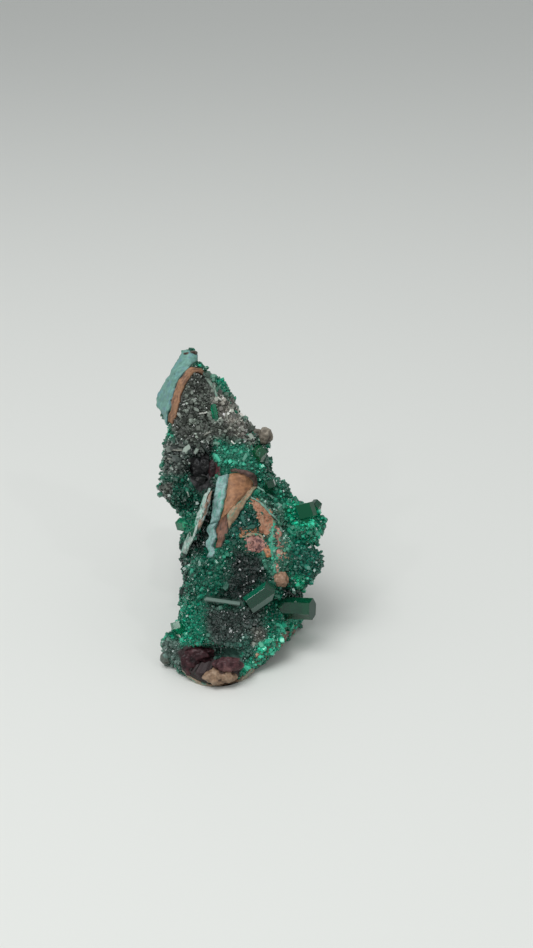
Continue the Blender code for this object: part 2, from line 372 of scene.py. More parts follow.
# Where the rock is bare of druse on that side: outline and colour
BARE_PATCHES = {
    "hollow_front": (
        [(177, 652), (186, 645), (206, 646), (216, 656), (236, 659), (243, 667), (236, 684), (206, 684),
         (188, 676)], paint(40, 24, 26),
    ),
    # The upper cavity's rock is painted near black: its dark colour deepened as painted shade.
    "hollow_upper": (
        [(188, 458), (206, 454), (213, 464), (212, 484), (200, 493), (190, 484)], paint(20, 20, 22),
    ),
    "hollow_edge": ([(210, 462), (220, 462), (220, 476), (211, 478)], paint(78, 38, 42)),
}
EARTH, DARK_EARTH, BLUE_STAIN = paint(112, 88, 68), paint(62, 50, 43), paint(120, 172, 162)
COAT_SIZE, SHADE_SIZE, STAIN_SIZE = 6.0, 2.6, 4.2
UNDER_DRUSE = 0.45


def coated(points):
    """Where the druse coats the sides that the picture doesn't show: 1 on it and 0 off it."""
    return ease(rough_noise(points, COAT_SIZE, 3, 77), -0.3, 0.05)


in_view = ease(rock_facing, 0.0, 0.15)
shade_noise = rough_noise(rock_points, SHADE_SIZE, 3, 41)
stains = ease(rough_noise(rock_points, STAIN_SIZE, 2, 57), 0.2, 0.4)
rock_colours = np.tile(EARTH, (len(rock_points), 1))
rock_colours = blend_in(rock_colours, DARK_EARTH, ease(shade_noise, -0.1, 0.4))
rock_colours = blend_in(rock_colours, BLUE_STAIN, stains)
under_druse = UNDER_DRUSE * druse_colours(rock_points, rock_pixels, rock_facing)
rock_colours = blend_in(rock_colours, under_druse, np.maximum(in_view, 0.8 * coated(rock_points)))
for outline, colour in BARE_PATCHES.values():
    weight = ease(inside(rock_pixels, outline) + 2.0 * shade_noise, -1.5, 1.5)
    rock_colours = blend_in(rock_colours, colour, weight * ease(rock_facing, 0.0, 0.2))


def plain_material(name, colour, roughness, ior=1.5, transmission=0.0):
    """A material of one colour, for the others to build on."""
    material = bpy.data.materials.new(name)
    material.use_nodes = True
    inputs = material.node_tree.nodes["Principled BSDF"].inputs
    inputs["Base Color"].default_value = (*colour, 1.0)
    inputs["Roughness"].default_value = roughness
    inputs["IOR"].default_value = ior
    inputs["Transmission Weight"].default_value = transmission
    return material


def mineral_material(name, roughness, grain, relief, contrast=0.4, ior=1.5, transmission=0.0):
    """A material that takes the colour stored on the mesh, lightens and darkens it by noise of
    this grain size in millimetres, and raises a fine relief of this height by the same noise."""
    material = plain_material(name, EARTH, roughness, ior, transmission)
    nodes, links = material.node_tree.nodes, material.node_tree.links
    shader = nodes["Principled BSDF"]
    mineral = nodes.new("ShaderNodeAttribute")
    mineral.attribute_name = "mineral"
    if not relief:
        links.new(mineral.outputs["Color"], shader.inputs["Base Color"])
        return material
    place = nodes.new("ShaderNodeTexCoord")
    noise = nodes.new("ShaderNodeTexNoise")
    noise.inputs["Scale"].default_value = 1 / (MM * grain)
    noise.inputs["Detail"].default_value = 6.0
    noise.inputs["Roughness"].default_value = 0.65
    spread = nodes.new("ShaderNodeMapRange")
    spread.inputs["From Min"].default_value = 0.3
    spread.inputs["From Max"].default_value = 0.7
    spread.inputs["To Min"].default_value = 1 - contrast
    spread.inputs["To Max"].default_value = 1 + contrast
    tint = nodes.new("ShaderNodeMix")
    tint.data_type = "RGBA"
    tint.blend_type = "MULTIPLY"
    tint.inputs["Factor"].default_value = 1.0
    bump = nodes.new("ShaderNodeBump")
    bump.inputs["Distance"].default_value = MM * relief
    links.new(place.outputs["Object"], noise.inputs["Vector"])
    links.new(noise.outputs["Fac"], spread.inputs["Value"])
    links.new(mineral.outputs["Color"], tint.inputs["A"])
    links.new(spread.outputs["Result"], tint.inputs["B"])
    links.new(tint.outputs["Result"], shader.inputs["Base Color"])
    links.new(noise.outputs["Fac"], bump.inputs["Height"])
    links.new(bump.outputs["Normal"], shader.inputs["Normal"])
    return material


rock_material = mineral_material("ore rock", 0.6, 0.7, 0.12)
rock = new_piece("matrix_rock", rock_points, rock_quads, rock_material, rock_colours, True, True)
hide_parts("matrix")


# The crusts are thin layers that grew over the rock and broke off at their edges. Each is a low
# slab between two curves on the rock, with a flat top, steep edges and an underside in the rock.
CRUST_ROWS, CRUST_COLUMNS = 96, 16
SUNK = 0.5
FLATTENINGS = 5
REACH_PIXELS, NEAR_PIXELS, SPREAD_PIXELS = 9, 3.0, 1.6
FOREMOST = 1.5
FLAT_ACROSS, FLAT_ALONG = 10, 20
FRAY_SIZE, EDGES_APART = 7.0, 40.0
LUMPINESS, LUMP_SIZE = 0.45, 1.4
STREAK_SIZE, STREAK_LENGTH = 1.7, 5.0


def through_pixels(pixels, depth):
    """Points that show at these pixels at this depth along the view, undoing in_picture."""
    across = (pixels[:, 0] - PICTURE_WIDTH / 2) / FOCAL_PIXELS * depth
    down = (pixels[:, 1] - PICTURE_HEIGHT / 2) / FOCAL_PIXELS * depth
    along = depth * cos(CAMERA_PITCH) - down * sin(CAMERA_PITCH)
    up = -depth * sin(CAMERA_PITCH) - down * cos(CAMERA_PITCH)
    return CAMERA_PLACE + np.column_stack([across, along, up])


front = rock_facing > 0.05
front_normals, front_pixels, front_depth = rock_normals[front], rock_pixels[front], rock_depth[front]


def seen_at(pixels):
    """How deep the rock lies at these pixels and its normals there: the mean over the rock
    points near each pixel, weighed by closeness, without those behind the foremost one."""
    depths, normals = [], []
    for pixel in np.array_split(np.asarray(pixels, float), len(pixels) // 64 + 1):
        low, high = pixel.min(axis=0) - REACH_PIXELS, pixel.max(axis=0) + REACH_PIXELS
        local = ((front_pixels > low) & (front_pixels < high)).all(axis=1)
        apart = ((front_pixels[local][None] - pixel[:, None]) ** 2).sum(-1)
        apart -= apart.min(axis=1, keepdims=True)
        near = apart < NEAR_PIXELS**2
        first = np.where(near, front_depth[local], 1e9).min(axis=1, keepdims=True)
        weight = np.exp(-apart / SPREAD_PIXELS) * near * (front_depth[local] < first + FOREMOST)
        weight /= weight.sum(axis=1, keepdims=True)
        depths.append(weight @ front_depth[local])
        normals.append(weight @ front_normals[local])
    return np.concatenate(depths), unit(np.concatenate(normals))


def smooth_path(points, count):
    """A smooth curve of count points through given ones, evenly by their spacing: each
    stretch is a cubic whose end slopes follow the neighbours on both sides."""
    knots = np.asarray(points, float)
    length = np.concatenate([[0], np.cumsum(np.linalg.norm(np.diff(knots, axis=0), axis=1))])
    slopes = np.gradient(knots, length, axis=0)
    where = np.linspace(0, length[-1], count)
    span = np.clip(np.searchsorted(length, where, "right") - 1, 0, len(knots) - 2)
    width = (length[span + 1] - length[span])[:, None]
    t = (where - length[span])[:, None] / width
    return (
        (2 * t**3 - 3 * t**2 + 1) * knots[span] + (t**3 - 2 * t**2 + t) * width * slopes[span]
        + (3 * t**2 - 2 * t**3) * knots[span + 1] + (t**3 - t**2) * width * slopes[span + 1]
    )


def evened(grid):
    """A grid of values, each replaced by the mean of itself and its neighbours, a few times."""
    for _ in range(FLATTENINGS):
        padded = np.pad(grid, [(1, 1), (1, 1)] + [(0, 0)] * (grid.ndim - 2), mode="edge")
        grid = (
            padded[:-2, 1:-1] + padded[2:, 1:-1] + padded[1:-1, :-2] + padded[1:-1, 2:] + grid
        ) / 5
    return grid


crust_material = mineral_material("mineral crust", 0.6, 0.6, 0.09, 0.34)


def slab_on_rock(name, side, other_side, height, colours, seed, fray, rows=CRUST_ROWS, to_viewer=0.5):
    """A closed slab between two pixel curves, v across it from 0 to 1 and u along it. Its top
    stands height (1 - |2v - 1|^10)(1 - |2u - 1|^20) out from the rock, roughened by noise, and
    its underside is sunk into it. fray is how far noise moves its edges, in pixels, and to_viewer
    how far its top leans to the viewer. The colours are the rim's, the middle's and the streaks'."""
    v = 0.5 - 0.5 * np.cos(pi * np.linspace(0, 1, CRUST_COLUMNS))
    u = np.linspace(0, 1, rows)
    path, other_path = smooth_path(side, rows), smooth_path(other_side, rows)
    edges = []
    for number, edge in enumerate((path, other_path)):
        key = np.column_stack([edge, np.full(rows, EDGES_APART * number)])
        shift = [rough_noise(key, FRAY_SIZE, 3, seed + step) for step in (0, 9)]
        edges.append(edge + fray * np.column_stack(shift))
    pixels = edges[0][:, None] + v[None, :, None] * (edges[1] - edges[0])[:, None]
    depth, normals = seen_at(pixels.reshape(-1, 2))
    depth = evened(depth.reshape(rows, -1)).ravel()
    normals = unit(evened(normals.reshape(rows, -1, 3)).reshape(-1, 3))
    places = through_pixels(pixels.reshape(-1, 2), depth)
    crown = 1 - np.abs(2 * v - 1) ** FLAT_ACROSS
    ends = 1 - np.abs(2 * u - 1) ** FLAT_ALONG
    rise = (height * crown[None] * ends[:, None]).ravel()
    rise *= 1 + LUMPINESS * rough_noise(places, LUMP_SIZE, 3, seed + 3)
    ways = unit((1 - to_viewer) * normals + to_viewer * unit(CAMERA_PLACE - places))
    top = (places + rise[:, None] * ways).reshape(rows, -1, 3)
    under = (places - SUNK * normals).reshape(rows, -1, 3)[:, ::-1]
    ring = np.concatenate([top, under], axis=1)
    ring[0], ring[-1] = ring[0].mean(axis=0), ring[-1].mean(axis=0)
    ring[:, :, 2] = np.maximum(ring[:, :, 2], 0.01)
    crown_of = np.tile(np.concatenate([crown, np.zeros(CRUST_COLUMNS)]), rows)
    along = np.repeat(u * np.linalg.norm(path[-1] - path[0]), 2 * CRUST_COLUMNS)
    over = np.tile(np.concatenate([v, v[::-1]]), rows)
    breadth = np.linalg.norm(other_path - path, axis=1).mean()
    streak_key = np.column_stack([along / STREAK_LENGTH, over * breadth, np.zeros(len(over))])
    streaks = ease(rough_noise(streak_key, STREAK_SIZE, 3, seed + 5), 0.05, 0.4)
    paints = blend_in(np.tile(colours[0], (len(over), 1)), colours[1], ease(crown_of, 0.3, 0.95))
    paints = blend_in(paints, colours[2], streaks)
    quads = tube_faces(rows, 2 * CRUST_COLUMNS)
    out = np.cross(top[:-1, 1:] - top[:-1, :-1], top[1:, :-1] - top[:-1, :-1]).sum((0, 1))
    if out @ normals.sum(axis=0) < 0:
        quads = quads[:, ::-1]
    piece = new_piece(name, ring.reshape(-1, 3), quads, crust_material, paints, smooth=True, weld=True)


TURQUOISE, PALE_BLUE, GREY_GREEN = paint(92, 164, 146), paint(134, 166, 164), paint(104, 140, 126)
TAN, ORANGE, BROWN = paint(166, 132, 108), paint(164, 114, 78), paint(100, 72, 56)
PINK, DARK_BROWN, LINE_GREEN = paint(170, 122, 108), paint(58, 42, 36), paint(60, 158, 130)
CRUSTS = {
    "wing_shell": (
        [(185, 349), (178, 359), (172, 370), (166, 381), (160, 391), (156, 400), (156, 404), (161, 411),
         (165, 419), (167, 426)],
        [(197, 351), (197, 360), (191, 367), (182, 375), (176, 386), (173, 396), (171, 406), (169, 416),
         (168, 426)],
        0.4, (paint(88, 120, 112), paint(102, 148, 138), paint(98, 138, 146)),
    ),
    "arc_layer": (
        [(205, 373), (199, 368), (192, 367), (186, 371), (180, 378), (176, 387), (173, 397), (171, 408),
         (168, 422)],
        [(203, 376), (198, 373), (194, 373), (190, 378), (185, 387), (182, 395), (180, 403), (178, 412),
         (173, 425)],
        0.45, (BROWN, paint(146, 108, 80), paint(108, 76, 58)),
    ),
    "thin_line": (
        [(200, 369), (208, 378), (215, 389), (221, 401)],
        [(200, 371), (206, 380), (213, 391), (219, 402)],
        0.3, (GREY_GREEN, paint(112, 130, 118), GREY_GREEN),
    ),
    "leaf_blue": (
        [(218, 477), (215, 489), (213, 502), (212, 513), (210, 524)],
        [(229, 474), (227, 488), (225, 501), (222, 513), (219, 522)],
        0.8, (PALE_BLUE, PALE_BLUE, TURQUOISE),
    ),
    "leaf_lobe": (
        [(210, 523), (207, 529), (209, 537), (206, 545), (209, 552), (206, 558)],
        [(218, 521), (215, 530), (217, 538), (214, 546), (216, 552), (213, 558)],
        0.6, (PALE_BLUE, PALE_BLUE, TURQUOISE),
    ),
    "leaf_orange": (
        [(229, 473), (227, 486), (225, 498), (223, 510), (219, 523)],
        [(246, 471), (256, 480), (251, 489), (240, 500), (225, 516)],
        0.35, (TAN, paint(154, 110, 78), paint(132, 92, 66)),
    ),
    "leaf_lip": (
        [(230, 470), (238, 469), (248, 471), (256, 477), (258, 486)],
        [(231, 473), (238, 473), (246, 476), (252, 481), (254, 488)],
        0.7, (GREY_GREEN, paint(84, 62, 56), DARK_BROWN),
    ),
    "leaf_lower": (
        [(218, 521), (216, 531), (217, 540), (215, 548)],
        [(231, 510), (229, 522), (227, 534), (221, 548)],
        0.15, (DARK_BROWN, paint(116, 78, 60), DARK_BROWN),
    ),
    "leaf_edge": (
        [(255, 485), (247, 492), (239, 500), (232, 507), (227, 514)],
        [(258, 487), (251, 496), (243, 508), (236, 519), (229, 531)],
        0.45, (GREY_GREEN, paint(150, 124, 98), paint(104, 134, 112)),
    ),
    "ridge_left": (
        [(209, 487), (203, 497), (199, 508), (194, 520), (189, 532), (184, 543), (181, 553)],
        [(212, 488), (208, 498), (206, 509), (202, 521), (197, 533), (192, 544), (187, 555)],
        3.0, (paint(132, 168, 156), paint(178, 194, 186), paint(110, 172, 154)),
    ),
    "ridge_right": (
        [(209, 491), (206, 499), (203, 509), (199, 520), (195, 531)],
        [(213, 490), (211, 500), (208, 511), (204, 521), (199, 532)],
        2.8, (paint(150, 152, 138), paint(150, 124, 108), PALE_BLUE),
    ),
    "orange_high": (
        [(250, 499), (253, 508), (258, 516), (260, 527), (258, 532)],
        [(257, 499), (264, 506), (272, 514), (274, 524), (269, 536)],
        0.1, (BROWN, paint(160, 112, 86), TAN),
    ),
    "orange_low": (
        [(241, 530), (249, 529), (258, 530)],
        [(241, 536), (249, 536), (258, 535)],
        0.12, (BROWN, ORANGE, BROWN),
    ),
    "tan_wave": (
        [(236, 537), (243, 536), (251, 533), (258, 533), (264, 538)],
        [(236, 539), (243, 538), (251, 536), (258, 536), (264, 541)],
        0.2, (TAN, paint(150, 136, 112), LINE_GREEN),
    ),
    "orange_last": (
        [(262, 546), (267, 547), (271, 548)],
        [(265, 555), (269, 557), (272, 557)],
        0.12, (BROWN, paint(170, 112, 74), TAN),
    ),
    "pink_patch": (
        [(246, 538), (255, 535), (264, 539)],
        [(247, 551), (256, 552), (266, 552)],
        0.1, (paint(124, 86, 82), paint(168, 124, 114), paint(84, 52, 54)),
    ),
    "green_line": (
        [(272, 520), (271, 530), (269, 541), (271, 552), (273, 562), (274, 573)],
        [(275, 520), (275, 531), (274, 541), (275, 552), (277, 562), (277, 573)],
        0.12, (LINE_GREEN, LINE_GREEN, GREY_GREEN),
    ),
    "pink_line": (
        [(275, 527), (276, 539), (277, 550), (277, 562), (277, 573)],
        [(279, 527), (281, 539), (283, 549), (281, 562), (280, 573)],
        0.12, (BROWN, PINK, LINE_GREEN),
    ),
    "fine_arc_inner": (
        [(250, 496), (256, 499), (263, 504), (271, 512), (279, 521), (283, 531)],
        [(250, 498), (256, 501), (262, 506), (269, 513), (277, 522), (281, 531)],
        0.3, (GREY_GREEN, paint(112, 158, 142), GREY_GREEN),
    ),
    "fine_arc_outer": (
        [(257, 486), (266, 491), (274, 497), (281, 505), (287, 516)],
        [(257, 488), (265, 493), (272, 499), (279, 507), (285, 517)],
        0.3, (GREY_GREEN, paint(112, 158, 142), GREY_GREEN),
    ),
    "foot_rim": (
        [(183, 668), (192, 677), (204, 683), (218, 685), (232, 684), (244, 675), (252, 667)],
        [(181, 670), (191, 680), (204, 686), (218, 688), (233, 687), (246, 678), (255, 670)],
        0.2, (TAN, paint(150, 140, 122), GREY_GREEN),
    ),
    "foot_layer": (
        [(252, 662), (264, 650), (280, 638), (297, 624)],
        [(254, 668), (267, 655), (282, 642), (299, 627)],
        0.1, (TAN, paint(118, 98, 84), DARK_BROWN),
    ),
}
RAGGED = (
    "orange_high", "orange_low", "orange_last", "pink_patch", "green_line", "pink_line", "foot_layer",
)
WALLS = ("ridge_left", "ridge_right")
RAGGED_FRAY, CLEAN_FRAY, FLAKE_FRAY = 3.2, 1.2, 0.3
for number, (name, (side, other_side, height, colours)) in enumerate(CRUSTS.items()):
    fray = RAGGED_FRAY if name in RAGGED else CLEAN_FRAY
    lean = 1.0 if name in WALLS else 0.5
    slab_on_rock(name, side, other_side, height, colours, 100 + 20 * number, fray, to_viewer=lean)


def crust_outline(name):
    side, other_side = CRUSTS[name][:2]
    return side + other_side[::-1]


# Small flakes of the same crust: both ends in pixels, and colour. The near-white ones are painted glints,
# light caught on small flat faces painted into their colour; the duller ones are pale grey.
FLAKE_HALF_WIDTH, FLAKE_HEIGHT, FLAKE_ROWS = 0.8, 0.4, 20
GLINT_WHITE, DULL_PALE = paint(206, 208, 200), paint(132, 134, 124)
FLAKES = [
    ((198, 414), (208, 412), GLINT_WHITE), ((217, 397), (225, 403), GLINT_WHITE), ((231, 441), (236, 446), GLINT_WHITE),
    ((168, 458), (178, 462), DULL_PALE), ((172, 450), (183, 451), DULL_PALE), ((187, 491), (189, 496), GLINT_WHITE),
    ((175, 632), (181, 638), GLINT_WHITE), ((204, 436), (211, 432), DULL_PALE), ((226, 415), (229, 423), DULL_PALE),
]
for number, (start, end, colour) in enumerate(FLAKES, start=1):
    start, end = np.array(start, float), np.array(end, float)
    half = FLAKE_HALF_WIDTH * unit(np.array([start[1] - end[1], end[0] - start[0]]))
    side, other_side = (np.linspace(start + way * half, end + way * half, 4) for way in (1, -1))
    slab_on_rock(
        f"flake_{number}", side, other_side, FLAKE_HEIGHT, (colour,) * 3, 600 + 12 * number,
        FLAKE_FRAY, FLAKE_ROWS,
    )


# Rounded knobs of other minerals stand on the rock and in its hollows. Each grew as a rounded
# crust in many small domes. A knob has a place in pixels, how far it stands out of the rock, its
# half sizes across, up and towards the viewer, and three colours: its body's, the painted
# highlight on its domes and the painted shade in its clefts.
KNOB_RINGS, KNOB_SIDES = 48, 72
SWELL, DOME_SIZE = 0.28, 1.1
MAROON, MAROON_DARK = paint(50, 28, 32), paint(24, 14, 16)
STONE, STONE_DARK = paint(108, 101, 91), paint(66, 60, 53)
# Near black for the dark mass in the upper cavity: its own dark grey deepened as painted shade.
DARK_MASS_AND_SHADE = (paint(14, 15, 16), paint(36, 37, 39), paint(6, 6, 8))
MAROONS, STONES = (MAROON, paint(74, 45, 48), MAROON_DARK), (STONE, paint(138, 131, 119), STONE_DARK)
KNOBS = {
    "dark_left": ((196, 471), -0.2, (1.2, 1.8, 0.8), DARK_MASS_AND_SHADE),
    "dark_right": ((205, 467), -0.2, (1.1, 1.5, 0.8), DARK_MASS_AND_SHADE),
    # dark_low is painted shade: the black under the dark mass.
    "dark_low": ((200, 481), -0.2, (1.3, 1.0, 0.8), (paint(10, 14, 13), paint(24, 30, 28), paint(6, 8, 8))),
    "dark_edge": ((213, 469), -0.1, (0.8, 1.6, 0.6), (paint(42, 24, 27), paint(56, 32, 36), MAROON_DARK)),
    "maroon_left": ((199, 655), 0.1, (2.1, 1.3, 1.1), MAROONS),
    "maroon_low": ((190, 663), 0.1, (1.5, 1.6, 0.9), MAROONS),
    "maroon_right": ((227, 665), 0.1, (2.2, 1.1, 1.0), (paint(74, 47, 50), paint(100, 70, 70), MAROON)),
    "tan_knob": ((220, 676), 0.0, (2.4, 1.2, 0.9), (paint(134, 110, 90), paint(150, 128, 108), DARK_BROWN)),
    "grey_knob": ((265, 436), 0.2, (1.1, 1.3, 1.3), STONES),
    "grey_neck": ((255, 433), 0.0, (1.3, 0.8, 1.0), STONES),
    "orange_nub": ((280, 580), 0.2, (1.25, 1.15, 1.0), (paint(146, 116, 96), paint(156, 132, 112), BROWN)),
    "tip_left": ((187, 354), 0.0, (0.6, 0.35, 0.6), (paint(104, 88, 76), STONE, DARK_BROWN)),
    "tip_right": ((193, 353), 0.0, (0.7, 0.4, 0.7), (paint(88, 84, 76), GREY_GREEN, DARK_BROWN)),
    "foot_grey": ((166, 657), 0.0, (0.9, 1.1, 0.9), (paint(92, 100, 94), paint(100, 128, 120), STONE_DARK)),
}
VIEW_AXES = np.array([
    [1, 0, 0],
    [0, sin(CAMERA_PITCH), cos(CAMERA_PITCH)],
    [0, -cos(CAMERA_PITCH), sin(CAMERA_PITCH)],
])
knob_material = mineral_material("rounded crust", 0.34, 0.4, 0.05, ior=1.3)


def knob(name, pixel, lift, half_sizes, colours, seed):
    """An ellipsoid over the picture's axes, across, up and towards the viewer, whose radius is
    one plus SWELL times noise, so that it swells in domes."""
    tilt = np.linspace(-pi / 2, pi / 2, KNOB_RINGS)[:, None]
    turn = np.linspace(0, 2 * pi, KNOB_SIDES, endpoint=False)[None]
    level = np.cos(tilt)
    ball = np.stack([level * np.cos(turn), np.sin(tilt) + 0 * turn, level * -np.sin(turn)], -1)
    ball = ball.reshape(-1, 3)
    swell = rough_noise(ball * half_sizes, DOME_SIZE, 3, seed)
    depth, normals = seen_at(np.array([pixel], float))
    centre = through_pixels(np.array([pixel], float), depth) + lift * normals
    points = centre + (ball * half_sizes * (1 + SWELL * swell[:, None])) @ VIEW_AXES
    points[:, 2] = np.maximum(points[:, 2], 0.02)
    # Painted light: each knob is lighter on its domes, a painted highlight, and darker in its clefts,
    # painted shade.
    paints = np.tile(colours[0], (len(points), 1))
    paints = blend_in(paints, colours[1], ease(swell, 0.1, 0.5))
    paints = blend_in(paints, colours[2], ease(-swell, 0.1, 0.5))
    quads = tube_faces(KNOB_RINGS, KNOB_SIDES)
    piece = new_piece(name, points, quads, knob_material, paints, smooth=True, weld=True)


for number, (name, (pixel, lift, half_sizes, colours)) in enumerate(KNOBS.items()):
    knob(name, pixel, lift, half_sizes, colours, 700 + 10 * number)


# The larger crystals are clear deep green dioptase prisms with three end faces, grown on the
# rock. Some faces, picked by the way they point, are painted paler, darker or brighter as painted
# light and shade, and one crystal is broken off square. Each prism has its root and tip on the
# leaning face, its width, and its roll in degrees.
CRYSTAL_RINGS = 7
BEVEL = 0.015
TIP_SLOPE = radians(51)
BROKEN = ("front_crystal",)
CRYSTALS = {
    "front_crystal": [((9.9, 13.2, -3.3), (14.6, 12.5, -1.5), 2.9, 32)],
    "ridge_crystal": [((4.8, 12.4, 0.8), (9.1, 15.3, 1.4), 2.5, 26)],
    "blade_crystal": [((3.6, 12.7, 0.5), (-1.8, 13.4, 0.9), 0.56, 29)],
    "right_cluster": [
        ((12.8, 25.4, -2.4), (14.1, 28.0, 3.2), 3.2, 0),
        ((12.0, 24.8, -2.0), (16.8, 26.4, 0.0), 3.0, 20),
        ((12.2, 25.0, -2.4), (14.3, 24.4, 3.0), 2.8, 35),
        ((12.0, 25.4, -2.2), (10.3, 27.8, 2.1), 2.4, 10),
        ((12.3, 24.9, -2.6), (15.0, 22.6, 1.2), 2.4, 50),
    ],
    "spike_crystal": [((14.9, 28.0, -3.4), (15.5, 30.1, -1.0), 1.6, 15)],
    "left_cluster": [
        ((-3.2, 26.0, -2.6), (-6.6, 26.3, -1.2), 2.0, 0),
        ((-3.2, 26.0, -2.4), (-5.0, 27.7, -0.9), 1.8, 30),
        ((-3.1, 25.8, -2.4), (-4.3, 24.7, -0.4), 1.8, 15),
    ],
    "upper_crystal": [((-0.4, 43.4, -0.7), (-0.95, 45.6, 0.9), 0.9, 0)],
    "shoulder_crystal": [((5.4, 35.4, -1.8), (6.9, 37.9, 2.0), 2.0, 25)],
    "ledge_crystal": [((7.2, 31.0, -2.2), (8.6, 32.3, 1.6), 1.6, 5)],
    "edge_crystal": [((-4.6, 8.6, -2.2), (-6.4, 9.6, 1.2), 1.5, 40)],
}


DIOPTASE_IOR, CRYSTAL_ROUGHNESS, DULL_ROUGHNESS, DULL_IOR = 1.66, 0.12, 0.4, 1.25
CLEAR_SHARE = 0.8
LIGHT_KEPT = (0.07, 0.80, 0.58, 1.0)


def clear_material(name, tint, density):
    """Clear green crystal: light passes and loses red first, the more the longer its way."""
    material = plain_material(name, tint, CRYSTAL_ROUGHNESS, DIOPTASE_IOR, CLEAR_SHARE)
    nodes = material.node_tree.nodes
    depths = nodes.new("ShaderNodeVolumeAbsorption")
    depths.inputs["Color"].default_value = LIGHT_KEPT
    depths.inputs["Density"].default_value = density
    material.node_tree.links.new(depths.outputs["Volume"], nodes["Material Output"].inputs["Volume"])
    return material


def painted_face_material(name, colour):
    """A crystal face painted one fixed colour for the light and shade that fall on it, with a rough finish.
    """
    return plain_material(name, colour, DULL_ROUGHNESS, DULL_IOR)


deep_material = clear_material("deep dioptase", paint(24, 116, 86), 800.0)
middle_material = clear_material("clear dioptase", paint(14, 150, 96), 420.0)
bright_material = clear_material("bright dioptase", paint(40, 190, 146), 350.0)
painted_pale_face = painted_face_material("painted pale face", paint(106, 126, 118))
painted_dark_face = painted_face_material("painted dark face", paint(50, 74, 65))
painted_green_face = painted_face_material("painted green face", paint(0, 74, 48))


def prism_grid(root, tip, width, roll, slope=TIP_SLOPE):
    """Rings of twelve points from root to tip: a hexagon with its corners cut, carried along,
    then drawn in to the tip over planes of this slope. A point r out at an angle a from its
    plane's middle lies r tan(slope) cos(a) below the tip."""
    start, end = on_face([root, tip])
    length = np.linalg.norm(end - start)
    corner = (np.arange(12) // 2) * pi / 3 + pi / 6
    shift = np.where(np.arange(12) % 2, BEVEL, -BEVEL)
    radius = width / 2 / np.cos(np.abs(shift) - pi / 6)
    angle = corner + shift
    plane = np.round((angle - pi / 2) / (2 * pi / 3)) * 2 * pi / 3 + pi / 2
    drop = radius * tan(slope) * np.cos(angle - plane)
    level = np.concatenate([[0, 0], np.linspace(0, 1, CRYSTAL_RINGS)[1:], [1, 1]])
    inward = np.concatenate([[0, 1], np.ones(CRYSTAL_RINGS - 1), [0.5, 0]])
    height = level[:, None] * (length - inward[:, None] * drop[None])
    flat = radius[None] * inward[:, None]
    local = np.stack([flat * np.cos(angle), flat * np.sin(angle), height], -1)
    turn = np.array(Vector(end - start).to_track_quat("Z", "Y").to_matrix())
    spin = np.array(Matrix.Rotation(radians(roll), 3, "Z"))
    return start + local.reshape(-1, 3) @ (turn @ spin).T


def crystal_piece(name, prisms, material, faces=()):
    """All the prisms of a crystal or cluster in one mesh. Each of faces is a way in face axes, how
    nearly a face must point that way, and the material such faces get, a fixed colour painted for
    the light and shade such faces show."""
    slope = 0.0 if name in BROKEN else TIP_SLOPE
    points = np.concatenate([prism_grid(*prism, slope) for prism in prisms])
    rings = CRYSTAL_RINGS + 3
    quads = np.concatenate([tube_faces(rings, 12) + k * rings * 12 for k in range(len(prisms))])
    piece = new_piece(f"{name}_grown", points, quads, material, weld=True)
    for slot, (way, nearly, look) in enumerate(faces, start=1):
        piece.data.materials.append(look)
        way = unit(np.array(way) @ FACE_AXES)
        for face in piece.data.polygons:
            if np.dot(face.normal, way) > nearly:
                face.material_index = slot
    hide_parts(name)


# Painted light and shade: faces that point these ways take a fixed paler, darker or brighter colour, as they
# look lit and shaded.
FACES = {
    "front_crystal": [((0.93, -0.14, 0.35), 0.93, painted_dark_face)],
    # On the ridge crystal the lower face is painted pale and the upper face bright, as painted light.
    "ridge_crystal": [((0.51, -0.82, 0.27), 0.93, painted_pale_face), ((-0.47, 0.55, 0.69), 0.93, bright_material)],
    # The blade is painted pale all over, a painted highlight along a thin crystal edge.
    "blade_crystal": [((0.0, 0.0, 1.0), -2.0, painted_pale_face)],
    "spike_crystal": [((0.3, 0.6, 0.7), 0.8, painted_dark_face)],
    "right_cluster": [((0.23, 0.42, 0.88), 0.55, painted_green_face)],
    "ledge_crystal": [((0.3, 0.2, 0.9), 0.8, painted_dark_face)],
}
CLEARNESS = {
    "front_crystal": deep_material, "ridge_crystal": deep_material, "spike_crystal": deep_material,
    "ledge_crystal": deep_material, "shoulder_crystal": middle_material,
}
for name, prisms in CRYSTALS.items():
    crystal_piece(name, prisms, CLEARNESS.get(name, bright_material), FACES.get(name, ()))


# Druse is a coat of very small dioptase crystals, side by side. Most are three-faced tips, with
# some rhombohedra and short prisms between. They stand out from the rock a little askew.
TIP_DROP = tan(TIP_SLOPE) / sqrt(3)
DRUSE_LIMIT = 190000
BARE_CRUSTS = [
    "wing_shell", "arc_layer", "leaf_blue", "leaf_lobe", "leaf_orange", "leaf_lip", "leaf_lower",
    "leaf_edge", "ridge_left", "ridge_right", "pink_patch", "orange_high", "orange_last", "green_line",
    "pink_line", "foot_rim",
]
PIXELS_TO_MM = 5.4
HOLLOW_EDGE = 0.25
CLEAR_OF_DRUSE = [
    [(202, 594), (244, 600), (244, 606), (202, 602)],
    [(299, 500), (309, 499), (315, 508), (312, 519), (302, 522), (295, 512)],
]
random = np.random.default_rng(7)
around = np.arange(6) * pi / 3
hexagon = np.column_stack([np.cos(around), np.sin(around)]) / sqrt(3)
rim_drop = np.where(np.arange(6) % 2, TIP_DROP / 2, TIP_DROP)


def tip_shape():
    """A three-faced tip one wide: a pyramid of three faces on a triangle."""
    foot = np.column_stack([1.15 * hexagon[::2], np.full(3, -0.35)])
    corners = np.vstack([[(0.0, 0.0, 0.55)], foot])
    return corners, np.array([(0, 1, 2), (0, 2, 3), (0, 3, 1), (1, 3, 2)])


